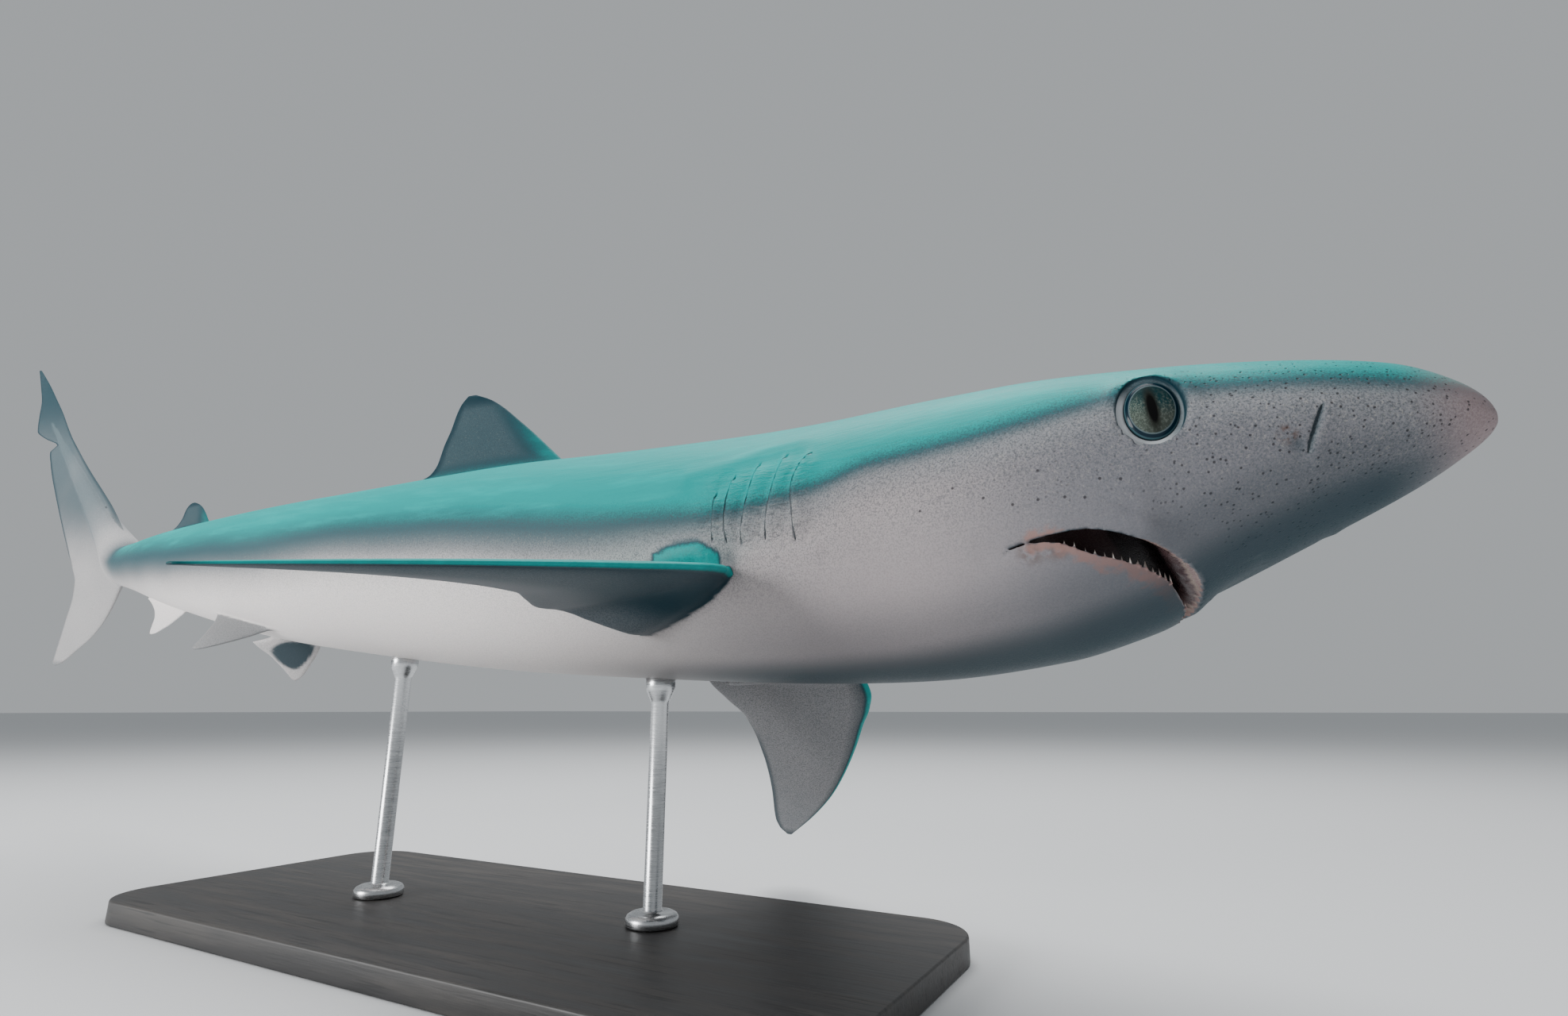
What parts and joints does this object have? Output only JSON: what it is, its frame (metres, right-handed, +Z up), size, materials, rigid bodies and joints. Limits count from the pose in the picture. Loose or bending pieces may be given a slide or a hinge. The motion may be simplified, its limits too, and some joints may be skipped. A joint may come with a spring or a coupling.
{
  "type": "shark",
  "caption": "Life-size model of a young blue shark, swimming with its mouth a little open, its body bent by the tail's beat, on a flat base with upright rods",
  "frame": {"origin": "the centre of the underside of the stand's base", "axes": "+X towards the snout, +Y towards the animal's left side, +Z up"},
  "size_m": [1.5378, 0.5075, 0.6144],
  "materials": {
    "skin": "satin",
    "eye": "gloss",
    "stand_base": "matte",
    "stand_rods": "brushed"
  },
  "bodies": {
    "root": {"eye_right": "eye", "eye_left": "eye", "head": "skin", "lower_jaw": "skin", "gill_region": "skin", "trunk_front": "skin", "trunk_rear": "skin", "tail_stalk": "skin", "dorsal_fin_first": "skin", "dorsal_fin_second": "skin", "anal_fin": "skin", "pectoral_fin_right": "skin", "pelvic_fin_right": "skin", "pectoral_fin_left": "skin", "pelvic_fin_left": "skin", "caudal_fin_upper": "skin", "caudal_fin_lower": "skin", "stand_base": "stand_base", "stand_rod_front": "stand_rods", "stand_rod_rear": "stand_rods"}
  },
  "joints": []
}
